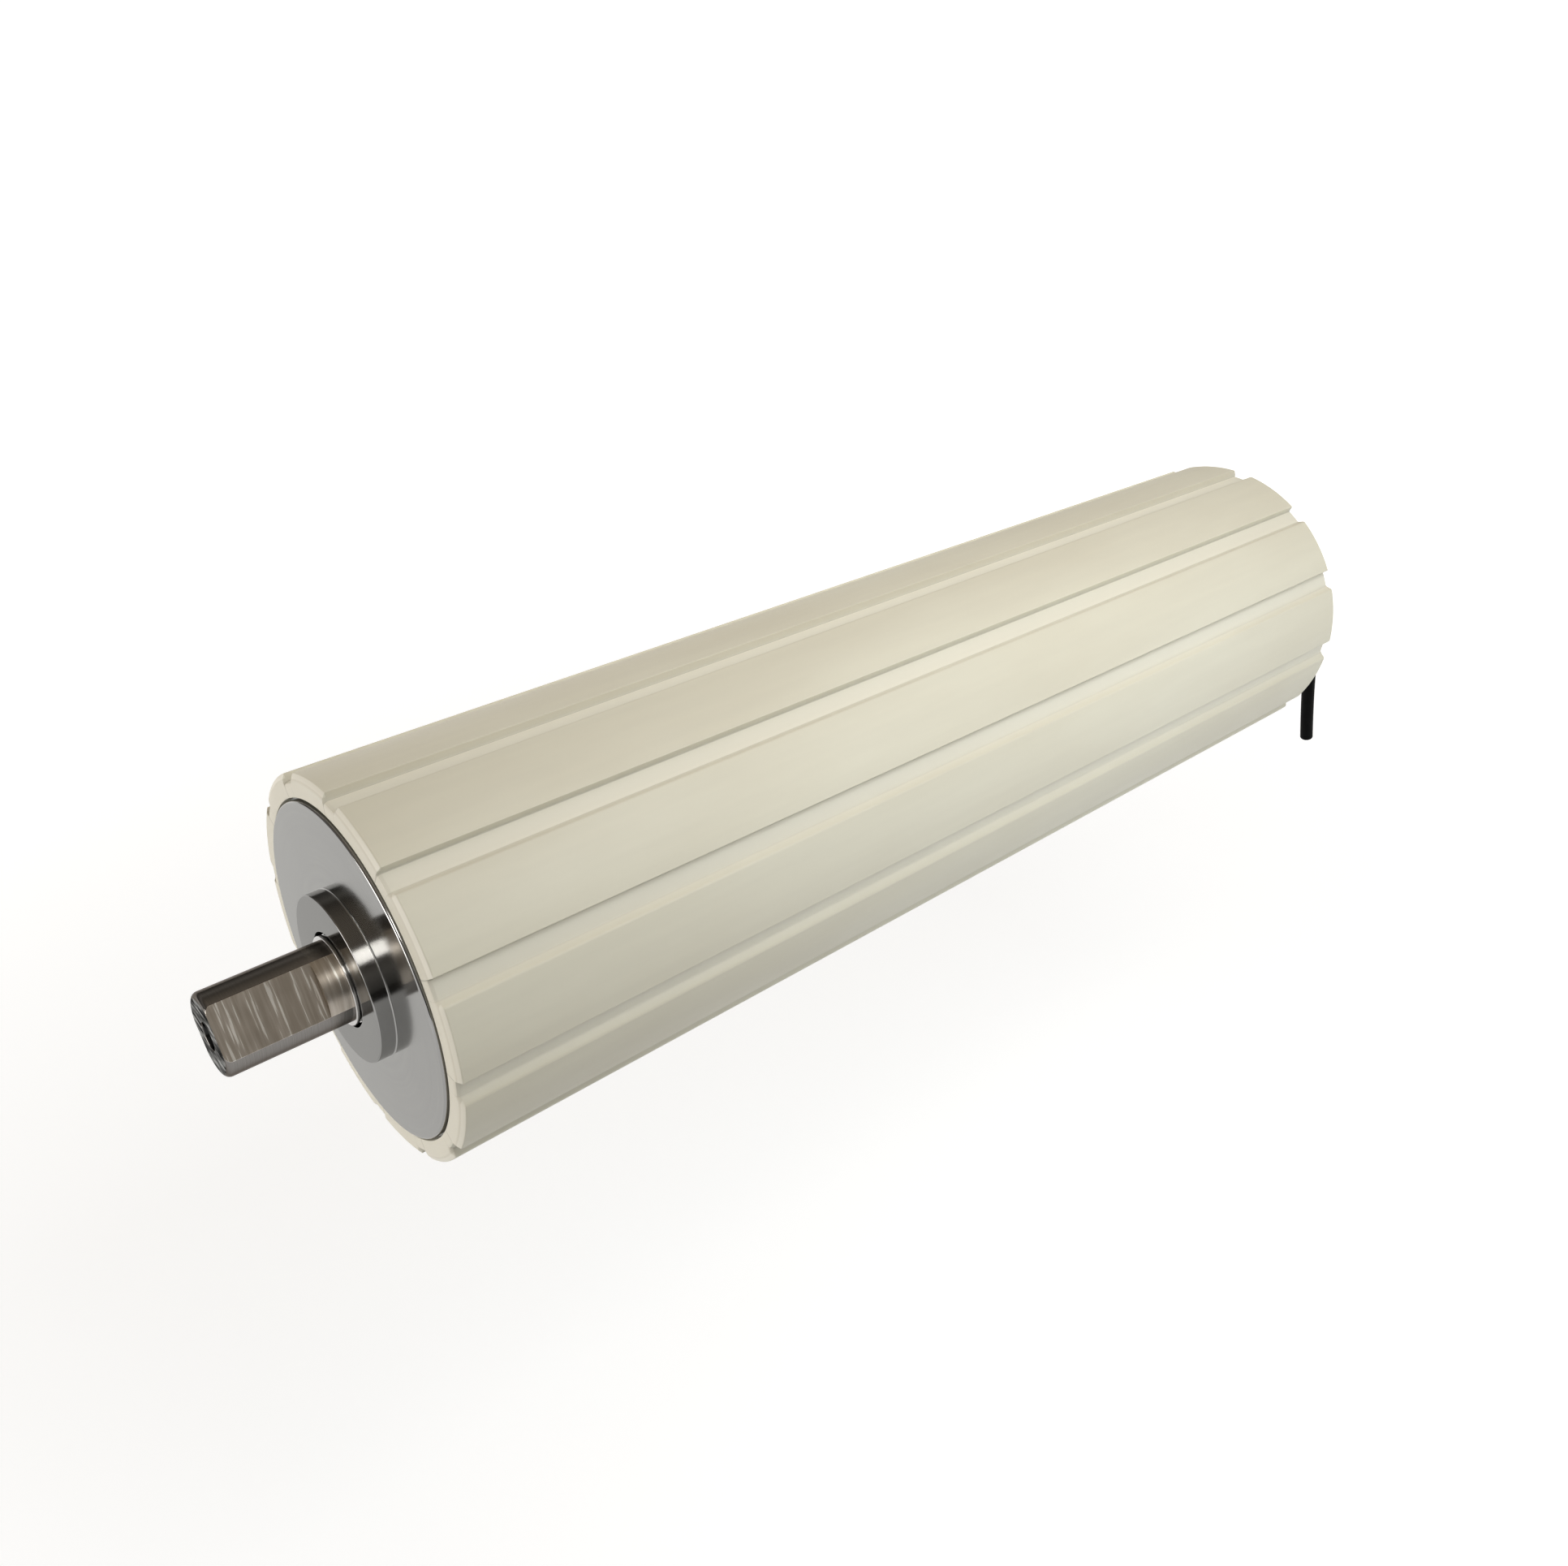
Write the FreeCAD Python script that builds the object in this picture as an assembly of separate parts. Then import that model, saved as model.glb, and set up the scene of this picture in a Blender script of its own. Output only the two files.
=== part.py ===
import FreeCAD, Part
import math
import os

Vector = FreeCAD.Vector

# Motorised conveyor drum: a lagged shell that a geared motor inside turns round its fixed shaft ends.
# Millimetres and degrees. X runs along the drum's axis from the front shaft end to the cable end, Z is up.
# The origin is on the axis, at the middle of the front shaft's flats, where a bracket holds the drum.
# Turns about the axis count from straight up towards -Y.

# Drum and lagging
drum_length = 506.0
lagging_diameter = 144.0
lagging_thickness = 5.5
shell_wall = 4.0
lagging_setback = 1.0
lagging_lip = 3.0
lagging_lip_gap = 0.8
lug_count = 12
lug_height = 3.1
lug_turn = 20.7
groove_floor = 5.0
steep_flank = 2.2
steep_bulge = 0.15
sloped_flank = 3.8
sloped_bulge = 0.6
lug_end_bevel = 2.0

# End housings
housing_depth = 26.0
boss_wall = 13.5
boss_height = 6.0
boss_mouth_gap = 1.0
seal_seat_depth = 3.0

# Shaft ends
shaft_diameter = 30.0
shaft_reach = 50.0
flat_length = 35.0
flat_depth = 3.5
flat_turn = 56.0
centre_hole_diameter = 6.8
centre_hole_depth = 16.0

# Main bearings, seals and labyrinth rings
bearing_section = 16.0
bearing_width = 16.0
labyrinth_wall = 1.5
labyrinth_width = 6.0
labyrinth_proud = 1.0
running_gap = 0.06
lip_gap = 0.08

# Gear train
ring_teeth = 42
layshaft_pinion_teeth = 12
layshaft_gear_teeth = 28
motor_pinion_teeth = 12
ring_rim = 18.0
pressure_angle = 25.0
tooth_play = 0.12
flank_steps = 2
root_depth = 1.25
ring_addendum = 0.8
ring_gear_width = 22.0
pinion_end_gap = 3.0
layshaft_turn = 180.0
layshaft_gear_width = 14.0
motor_pinion_width = 16.0
front_journal_diameter = 18.0
rear_journal_diameter = 14.0
gear_side_gap = 4.0
neck_gap = 1.5

# Motor
case_gap = 3.5
case_wall = 4.0
case_front_gap = 6.0
case_front_wall = 12.0
shield_thickness = 12.0
stator_length = 160.0
stator_back = 7.0
tooth_lip = 3.0
air_gap = 0.6
coil_count = 6
coil_tooth = 14.0
coil_thickness = 8.0
coil_depth = 12.0
coil_overhang = 16.0
coil_end_gap = 12.0
rotor_shaft_diameter = 17.0
pinion_seat_diameter = 10.0
rotor_end_gap = 2.0
key_width = 8.0
key_height = 7.0
key_depth = 4.0
lead_space = 60.0
rear_flange_width = 12.0
lead_diameter = 7.0
lead_side_gap = 3.5
lead_end_gap = 10.0

# Cable gland and cable
cable_bore_diameter = 16.0
gland_thread_length = 12.0
gland_hex = 20.0
gland_hex_width = 6.0
nut_length = 15.0
cable_diameter = 8.0
cable_grip = 9.0

# Radii and stations that follow from the sizes above
lagging_radius = lagging_diameter / 2
groove_radius = lagging_radius - lug_height
shell_radius = lagging_radius - lagging_thickness
shell_bore = shell_radius - shell_wall
shaft_radius = shaft_diameter / 2
bearing_radius = shaft_radius + bearing_section
labyrinth_radius = shaft_radius + labyrinth_wall
boss_mouth = labyrinth_radius + boss_mouth_gap
boss_radius = boss_mouth + boss_wall
case_radius = shell_bore - case_gap
case_bore = case_radius - case_wall
coil_outside = case_bore - stator_back
coil_inside = coil_outside - coil_depth
stator_bore = coil_inside - tooth_lip
lead_offset = (coil_inside + coil_outside) / 2
shield_half = lead_offset - lead_diameter / 2 - lead_side_gap
drive_module = (shell_bore - ring_rim) / (ring_teeth / 2 + root_depth)
gear_centres = drive_module * (ring_teeth - layshaft_pinion_teeth) / 2
motor_module = 2 * gear_centres / (layshaft_gear_teeth + motor_pinion_teeth)
neck_radius = gear_centres - drive_module * (layshaft_pinion_teeth / 2 + 1) - neck_gap
front_face = flat_length / 2 + shaft_reach - flat_length
rear_face = front_face + drum_length
shell_setback = lagging_setback + lagging_lip
bearing_start = housing_depth - bearing_width
ring_start = front_face + housing_depth
ring_end = ring_start + ring_gear_width
case_start = ring_end + case_front_gap
gear_room = case_start + case_front_wall
shield_start = gear_room + layshaft_gear_width + 2 * gear_side_gap
shield_end = shield_start + shield_thickness
stator_start = shield_end + coil_end_gap + coil_overhang
stator_end = stator_start + stator_length
rear_shield_start = stator_end + coil_overhang + coil_end_gap
rear_shield_end = rear_shield_start + shield_thickness
flange_start = rear_shield_end + lead_space
case_end = flange_start + rear_flange_width
rear_tip = rear_face + shaft_reach
nut_start = rear_tip + gland_hex_width
nut_end = nut_start + nut_length
cable_start = nut_end - cable_grip

# Cable route from its start inside the gland nut to the cut end
cable_route = [
    (0.0, 0.0, 0.0),
    (24.0, 0.0, 0.0),
    (45.0, 0.0, -12.0),
    (59.0, 0.0, -36.5),
    (74.0, 0.0, -91.0),
    (84.0, 0.0, -140.5),
]


def spot(x, turn, radius, centre=(0.0, 0.0)):
    """The point at x along the axis, a radius away from a centre line and turned from straight up."""
    angle = math.radians(turn)
    return Vector(x, centre[0] - radius * math.sin(angle), centre[1] + radius * math.cos(angle))


def line(start, end):
    return Part.LineSegment(start, end).toShape()


def bow(start, middle, end):
    return Part.Arc(start, middle, end).toShape()


def bulged(start, end, bulge):
    """An arc that stands away from the axis by the bulge, halfway along its chord."""
    middle = (start + end) / 2
    away = Vector(0, middle.y, middle.z)
    along = (end - start).normalize()
    side = (away - along * away.dot(along)).normalize()
    return bow(start, middle + side * bulge, end)


def extruded(edges, length):
    """A solid from a closed outline across the axis, drawn out along X."""
    return Part.Face(Part.Wire(edges)).extrude(Vector(length, 0, 0))


def turned(profile, face=0.0, inward=1):
    """A solid of revolution about X. The profile holds (distance inward from the face, radius)."""
    points = [Vector(face + inward * distance, 0, radius) for distance, radius in profile]
    section = Part.Face(Part.makePolygon(points + points[:1]))
    solid = section.revolve(Vector(0, 0, 0), Vector(1, 0, 0), 360)
    if solid.Volume < 0:
        solid.reverse()
    return solid


def cylinder(radius, start, end, centre=(0.0, 0.0)):
    return Part.makeCylinder(radius, end - start, Vector(start, *centre), Vector(1, 0, 0))


def ring(inner, outer, start, end):
    return turned([(start, inner), (end, inner), (end, outer), (start, outer)])


def hexagon(across, start, end):
    corner = across / math.sqrt(3)
    corners = [spot(start, 60 * k, corner) for k in range(6)]
    return extruded([line(corners[k - 1], corners[k]) for k in range(6)], end - start)


def tube_along(points, radii, diameter):
    """A round tube along straight runs that tangent arcs join, one arc at each inner point."""
    pieces = []
    last = points[0]
    length = 0.0
    for before, corner, after, radius in zip(points, points[1:], points[2:], radii):
        into = (corner - before).normalize()
        out = (after - corner).normalize()
        turn = into.getAngle(out)
        reach = radius * math.tan(turn / 2)
        first = corner - into * reach
        axis = into.cross(out).normalize()
        middle = first + axis.cross(into) * radius
        section = Part.Face(Part.Wire(Part.Circle(first, into, diameter / 2).toShape()))
        pieces.append(section.revolve(middle, axis, math.degrees(turn)))
        pieces.append(Part.makeCylinder(diameter / 2, (first - last).Length, last, into))
        length = length + (first - last).Length + radius * turn
        last = corner + out * reach
    final = points[-1] - last
    pieces.append(Part.makeCylinder(diameter / 2, final.Length, last, final))
    length = length + final.Length
    tube = pieces[0].fuse(pieces[1:])
    expected = math.pi * diameter ** 2 / 4 * length
    print("tube length %.1f, volume %.4f of section times length" % (length, tube.Volume / expected))
    return tube


def arc_radii(points):
    """Each arc takes 0.45 of its shorter run on both sides of its corner."""
    radii = []
    for before, corner, after in zip(points, points[1:], points[2:]):
        into = corner - before
        out = after - corner
        shorter = min(into.Length, out.Length)
        radii.append(0.45 * shorter / math.tan(into.getAngle(out) / 2))
    return radii


def profiled_lagging():
    """A moulded sleeve that wraps both shell ends, with lugs along its whole length."""
    start = front_face + lagging_setback
    end = rear_face - lagging_setback
    pitch = 360.0 / lug_count
    degree = math.pi * groove_radius / 180
    steep = steep_flank / degree
    sloped = sloped_flank / degree
    floor = groove_floor / degree
    lug = pitch - steep - sloped - floor
    edges = []
    for k in range(lug_count):
        top = lug_turn - lug / 2 + k * pitch
        low = top + lug
        foot = low + steep
        rise = foot + floor
        edges.append(bow(spot(start, top, lagging_radius), spot(start, (top + low) / 2, lagging_radius),
                         spot(start, low, lagging_radius)))
        edges.append(bulged(spot(start, low, lagging_radius), spot(start, foot, groove_radius), steep_bulge))
        edges.append(bow(spot(start, foot, groove_radius), spot(start, (foot + rise) / 2, groove_radius),
                         spot(start, rise, groove_radius)))
        edges.append(bulged(spot(start, rise, groove_radius), spot(start, rise + sloped, lagging_radius),
                            sloped_bulge))
    sleeve = extruded(edges, end - start)
    bevel_radius = lagging_radius - lug_end_bevel
    limits = turned([(start, 0), (start, bevel_radius), (start + lug_end_bevel, lagging_radius),
                     (end - lug_end_bevel, lagging_radius), (end, bevel_radius), (end, 0)])
    mouth = cylinder(shell_bore + lagging_lip_gap, start, end)
    seat = cylinder(shell_radius, start + lagging_lip, end - lagging_lip)
    return sleeve.common(limits).cut(mouth.fuse(seat))


def drum_shell():
    return ring(shell_bore, shell_radius, front_face + shell_setback, rear_face - shell_setback)


def end_housing(face, inward):
    """A turned disc that closes the shell, with the boss outside and the bearing's seat inside."""
    return turned([
        (-boss_height, boss_mouth),
        (-boss_height, boss_radius),
        (0, boss_radius),
        (0, shell_bore),
        (housing_depth, shell_bore),
        (housing_depth, bearing_radius),
        (seal_seat_depth, bearing_radius),
        (seal_seat_depth, boss_mouth),
    ], face, inward)


def ring_at(inner, outer, near, far, face, inward):
    """A plain ring between two distances inward from a housing's face."""
    return turned([(near, inner), (far, inner), (far, outer), (near, outer)], face, inward)


def main_bearing(face, inward):
    return ring_at(shaft_radius + running_gap, bearing_radius, bearing_start, housing_depth, face, inward)


def shaft_seal(face, inward):
    return ring_at(shaft_radius + lip_gap, bearing_radius, seal_seat_depth, bearing_start, face, inward)


def labyrinth_ring(face, inward):
    front = -boss_height - labyrinth_proud
    return ring_at(shaft_radius, labyrinth_radius, front, front + labyrinth_width, face, inward)


def at_both_ends(make):
    """The same turned piece at the front end and, turned round, at the rear end."""
    return Part.makeCompound([make(front_face, 1), make(rear_face, -1)])


def flat_cuts(tip, inward):
    """Two blocks that mill the flats into a shaft end."""
    blocks = []
    for side in (0, 180):
        block = Part.makeBox(flat_length, shaft_diameter, shaft_diameter,
                             Vector(min(tip, tip + inward * flat_length), -shaft_radius,
                                    shaft_radius - flat_depth))
        block.rotate(Vector(0, 0, 0), Vector(1, 0, 0), flat_turn + side)
        blocks.append(block)
    return blocks[0].fuse(blocks[1])


def key_block(low, high):
    """The key's length and width, between two heights above the axis."""
    return Part.makeBox(case_front_wall, key_width, high - low, Vector(case_start, -key_width / 2, low))


def front_shaft():
    """A solid shaft end, with its flats outside and a keyed seat in the motor case inside."""
    tip = front_face - shaft_reach
    hole = centre_hole_diameter / 2
    shaft = turned([
        (tip + centre_hole_depth, 0),
        (tip + centre_hole_depth, hole),
        (tip, hole),
        (tip, shaft_radius),
        (ring_start, shaft_radius),
        (ring_start, neck_radius),
        (gear_room, neck_radius),
        (gear_room, 0),
    ])
    return shaft.cut(flat_cuts(tip, 1)).cut(key_block(neck_radius - key_depth, shaft_diameter))


def rear_shaft():
    """A hollow shaft end on a flange that closes the motor case. The leads run through its bore."""
    bore = cable_bore_diameter / 2
    shaft = turned([
        (flange_start, bore),
        (rear_tip, bore),
        (rear_tip, shaft_radius),
        (case_end, shaft_radius),
        (case_end, case_bore),
        (flange_start, case_bore),
    ])
    return shaft.cut(flat_cuts(rear_tip, -1))


def shaft_key():
    return key_block(neck_radius - key_depth, neck_radius - key_depth + key_height)


def involute(angle):
    return math.tan(angle) - angle


def gear_outline(teeth, module, inner, outer, thicker, x, centre, turn):
    """A closed gear outline. The flanks follow involutes between the inner and outer radius, and thicker is
    what the tooth gains along the pitch circle. One tooth points along turn."""
    pressure = math.radians(pressure_angle)
    pitch = module * teeth / 2
    base = pitch * math.cos(pressure)
    start = max(inner, base)

    def half_tooth(radius):
        at = math.acos(min(1.0, base / radius))
        half = (math.pi * module / 2 + thicker) / 2 / pitch
        return math.degrees(half + involute(pressure) - involute(at))

    steps = range(flank_steps + 1)
    flank = [(radius, half_tooth(radius)) for radius in (start + (outer - start) * k / flank_steps for k in steps)]
    if inner < base:
        flank.insert(0, (inner, half_tooth(base)))
    corners = []
    for k in range(teeth):
        here = turn + 360.0 * k / teeth
        corners.extend(spot(x, here - half, radius, centre) for radius, half in flank)
        corners.extend(spot(x, here + half, radius, centre) for radius, half in reversed(flank))
    return [line(corners[k - 1], corners[k]) for k in range(len(corners))]


def spur_gear(teeth, module, start, width, centre, turn):
    pitch = module * teeth / 2
    outline = gear_outline(teeth, module, pitch - root_depth * module, pitch + module, -tooth_play,
                           start, centre, turn)
    return extruded(outline, width)


def ring_gear():
    """An internal gear. Its tooth spaces have the outline of a slightly fat outside gear."""
    pitch = drive_module * ring_teeth / 2
    spaces = gear_outline(ring_teeth, drive_module, pitch - ring_addendum * drive_module,
                          pitch + root_depth * drive_module, tooth_play, ring_start, (0.0, 0.0), layshaft_turn)
    rim = cylinder(shell_bore, ring_start, ring_end)
    return rim.cut(extruded(spaces, ring_gear_width))


def layshaft_centre():
    axis = spot(0, layshaft_turn, gear_centres)
    return (axis.y, axis.z)


def layshaft_pinion():
    """The layshaft, with the pinion that drives the ring gear cut into its front end."""
    centre = layshaft_centre()
    pinion = spur_gear(layshaft_pinion_teeth, drive_module, ring_start + pinion_end_gap,
                       ring_gear_width - pinion_end_gap, centre, layshaft_turn)
    step = shield_start - gear_side_gap / 2
    shaft = cylinder(front_journal_diameter / 2, ring_end, step, centre)
    rear_journal = cylinder(rear_journal_diameter / 2, step, shield_end, centre)
    return pinion.fuse([shaft, rear_journal])


def layshaft_gear():
    centre = layshaft_centre()
    start = gear_room + gear_side_gap
    facing_gap = layshaft_turn + 180 + 180.0 / layshaft_gear_teeth
    wheel = spur_gear(layshaft_gear_teeth, motor_module, start, layshaft_gear_width, centre, facing_gap)
    return wheel.cut(cylinder(front_journal_diameter / 2, start, start + layshaft_gear_width, centre))


def motor_pinion():
    start = gear_room + gear_side_gap
    wheel = spur_gear(motor_pinion_teeth, motor_module, start, motor_pinion_width, (0.0, 0.0), layshaft_turn)
    return wheel.cut(cylinder(pinion_seat_diameter / 2, start, start + motor_pinion_width))


def rotor_shaft():
    journal = rotor_shaft_diameter / 2
    seat = pinion_seat_diameter / 2
    start = gear_room + gear_side_gap
    step = start + motor_pinion_width
    end = rear_shield_end
    return turned([(start, 0), (start, seat), (step, seat), (step, journal), (end, journal), (end, 0)])


def rotor_core():
    return ring(rotor_shaft_diameter / 2, stator_bore - air_gap, stator_start, stator_end)


def motor_case():
    """A deep cup that holds gears and motor. Its front wall sits on the front shaft and carries the layshaft."""
    cup = turned([(case_start, neck_radius), (case_start, case_radius), (case_end, case_radius),
                  (case_end, case_bore), (gear_room, case_bore), (gear_room, neck_radius)])
    journal = cylinder(front_journal_diameter / 2 + running_gap, case_start, gear_room, layshaft_centre())
    return cup.cut(journal).cut(key_block(0, neck_radius - key_depth + key_height))


def bearing_shield(start, end):
    """A disc across the motor case that carries the rotor, with two flats that leave room at its sides."""
    disc = cylinder(case_bore, start, end)
    across = Part.makeBox(end - start, 2 * shield_half, 2 * case_radius,
                          Vector(start, -shield_half, -case_radius))
    return disc.common(across).cut(cylinder(rotor_shaft_diameter / 2 + running_gap, start, end))


def bearing_shields():
    """The front shield carries the layshaft's rear journal too."""
    journal = cylinder(rear_journal_diameter / 2 + running_gap, shield_start, shield_end, layshaft_centre())
    return Part.makeCompound([bearing_shield(shield_start, shield_end).cut(journal),
                              bearing_shield(rear_shield_start, rear_shield_end)])


def coil_space(inside, outside, start, end, half_width, turn):
    """A block across one wound tooth, between two distances from the axis."""
    block = Part.makeBox(end - start, 2 * half_width, outside - inside, Vector(start, -half_width, inside))
    block.rotate(Vector(0, 0, 0), Vector(1, 0, 0), turn)
    return block


def coil_turns():
    """Where the wound teeth point. One of them points straight at the leads' side."""
    return [90 + 360.0 * k / coil_count for k in range(coil_count)]


def stator_core():
    """A stack with a slot on each side of every wound tooth."""
    core = ring(stator_bore, case_bore, stator_start, stator_end)
    slots = []
    for turn in coil_turns():
        outer = coil_tooth / 2 + coil_thickness
        both = coil_space(stator_bore / 2, coil_outside, stator_start, stator_end, outer, turn)
        tooth = coil_space(0, case_bore, stator_start, stator_end, coil_tooth / 2, turn)
        slots.append(both.cut(tooth))
    return core.cut(slots)


def stator_windings():
    """One flat coil round each wound tooth. It fills both slots and rests on the stack's ends."""
    coils = []
    for turn in coil_turns():
        outer = coil_tooth / 2 + coil_thickness
        block = coil_space(coil_inside, coil_outside, stator_start - coil_overhang,
                           stator_end + coil_overhang, outer, turn)
        window = coil_space(0, case_bore, stator_start, stator_end, coil_tooth / 2, turn)
        coils.append(block.cut(window))
    return Part.makeCompound(coils)


def motor_leads():
    """The sleeved leads, from a coil past the rear shield to the rear shaft's bore and the gland."""
    bend_end = flange_start - lead_end_gap
    points = [
        Vector(stator_end + coil_overhang, -lead_offset, 0),
        Vector(bend_end - lead_offset, -lead_offset, 0),
        Vector(bend_end, 0, 0),
        Vector(cable_start, 0, 0),
    ]
    section = Part.Wire(Part.Circle(points[0], Vector(1, 0, 0), lead_diameter / 2).toShape())
    mitred = 1
    return Part.makePolygon(points).makePipeShell([section], True, False, mitred)


def gland_body():
    """A hexagon against the shaft's end, with a spigot in the shaft's bore."""
    start = rear_tip - gland_thread_length
    spigot = cylinder(cable_bore_diameter / 2, start, rear_tip)
    body = spigot.fuse(hexagon(gland_hex, rear_tip, nut_start))
    return body.cut(cylinder(cable_diameter / 2, start, nut_start))


def gland_nut():
    return hexagon(gland_hex, nut_start, nut_end).cut(cylinder(cable_diameter / 2, nut_start, nut_end))


def power_cable():
    points = [Vector(cable_start + x, y, z) for x, y, z in cable_route]
    radii = arc_radii(points)
    print("cable arc radii", [round(radius, 1) for radius in radii])
    return tube_along(points, radii, cable_diameter)


pieces = {
    "profiled_lagging": profiled_lagging(),
    "drum_shell": drum_shell(),
    "end_housings": at_both_ends(end_housing),
    "ring_gear": ring_gear(),
    "main_bearings": at_both_ends(main_bearing),
    "shaft_seals": at_both_ends(shaft_seal),
    "labyrinth_rings": at_both_ends(labyrinth_ring),
    "front_shaft": front_shaft(),
    "rear_shaft": rear_shaft(),
    "shaft_key": shaft_key(),
    "motor_case": motor_case(),
    "bearing_shields": bearing_shields(),
    "stator_core": stator_core(),
    "stator_windings": stator_windings(),
    "rotor_shaft": rotor_shaft(),
    "rotor_core": rotor_core(),
    "motor_pinion": motor_pinion(),
    "layshaft_pinion": layshaft_pinion(),
    "layshaft_gear": layshaft_gear(),
    "motor_leads": motor_leads(),
    "gland_body": gland_body(),
    "gland_nut": gland_nut(),
    "power_cable": power_cable(),
}

os.makedirs("parts", exist_ok=True)
for name, shape in pieces.items():
    shape.exportStep("parts/%s.step" % name)
    print("%-22s %d solid(s), %10.0f mm3, valid %s" % (name, len(shape.Solids), shape.Volume, shape.isValid()))
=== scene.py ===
import bmesh
import bpy
import math
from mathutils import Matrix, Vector


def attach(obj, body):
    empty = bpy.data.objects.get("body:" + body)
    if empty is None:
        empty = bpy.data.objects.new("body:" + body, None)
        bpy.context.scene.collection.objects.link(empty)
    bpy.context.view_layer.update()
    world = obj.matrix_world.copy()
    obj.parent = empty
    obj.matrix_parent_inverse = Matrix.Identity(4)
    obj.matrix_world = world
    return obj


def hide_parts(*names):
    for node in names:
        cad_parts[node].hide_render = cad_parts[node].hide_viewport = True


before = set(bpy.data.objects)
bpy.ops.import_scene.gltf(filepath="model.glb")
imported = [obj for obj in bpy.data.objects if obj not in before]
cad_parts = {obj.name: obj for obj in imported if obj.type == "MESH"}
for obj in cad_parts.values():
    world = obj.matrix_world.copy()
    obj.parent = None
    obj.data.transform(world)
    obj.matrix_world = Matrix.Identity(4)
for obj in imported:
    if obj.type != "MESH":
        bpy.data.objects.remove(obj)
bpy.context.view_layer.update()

# Motorised conveyor drum. Sizes are in millimetres and turns in degrees where nothing else is said.
# X runs along the axis. Turns about it count from straight up towards -Y.

# A millimetre in metres, and a micron in millimetres
MM = 0.001
MICRON = 0.001
MICRONS_IN_METRE = 1e6

# Points count as one within the first distance, and as near each other within the second, in metres
SAME_PLACE = 1e-6
NEAR_BY = 1e-5

# Along the axis: faces of the end discs, tips of the shafts, and the drum's middle
FRONT_FACE = 32.5
REAR_FACE = 538.5
SHAFT_REACH = 50.0
FRONT_TIP = FRONT_FACE - SHAFT_REACH
REAR_TIP = REAR_FACE + SHAFT_REACH
MIDDLE = 285.5

# Lagging: its ends, its radii, and the turns of one lug and the groove after it
SLEEVE_START = 33.5
SLEEVE_END = 537.5
LUG_TOP = 72.0
GROOVE = 68.9
SHELL = 66.5
LUG_COUNT = 12
PITCH = 360 / LUG_COUNT
MID_LUG = 20.7
LUG_LOW = 30.8
FOOT = 30.95
RISE = 37.0
CREST = 38.6

# Shaft: radius, bevel of the tip, and the two flats
SHAFT = 15.0
TIP_BEVEL = 2.2
FLAT_TURN = 56.0
FLAT_LENGTH = 35.0
HALF_FLATS = 11.5

# Cable gland: width across the flats of its hexagons, start and end of its nut, and the cable's radius
HEXAGON = 20.0
NUT_START = 594.5
NUT_END = 609.5
CABLE_RADIUS = 4.0


def mm(*sizes):
    """A place or a size in millimetres, made metres."""
    return Vector(sizes) * MM


def around(x, turn, radius):
    """The point at x along the axis, a radius away from it and turned from straight up."""
    angle = math.radians(turn)
    return mm(x, -radius * math.sin(angle), radius * math.cos(angle))


def off_axis(point):
    """A point's distance from the axis, in metres."""
    return math.hypot(point.y, point.z)


# Camera, at the photograph's place

bpy.ops.object.select_all(action="DESELECT")
bpy.ops.object.camera_add(location=(-0.0901, -0.3713, 0.2918),
                          rotation=(math.radians(59.185), 0, math.radians(-40.457)))
camera = bpy.context.object
camera.name = "photo_camera"
camera.data.lens = 30.824
camera.data.sensor_width = 36
camera.data.clip_start = 0.01
camera.data.clip_end = 500
bpy.context.scene.camera = camera
bpy.context.scene.view_settings.view_transform = "Standard"


# Finishes

# Radians in a metre of the sine waves that draw sheets half a millimetre thick and wires 0.8 mm thick
SHEET_WAVES = 12566.0
WIRE_WAVES = 7854.0


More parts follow.
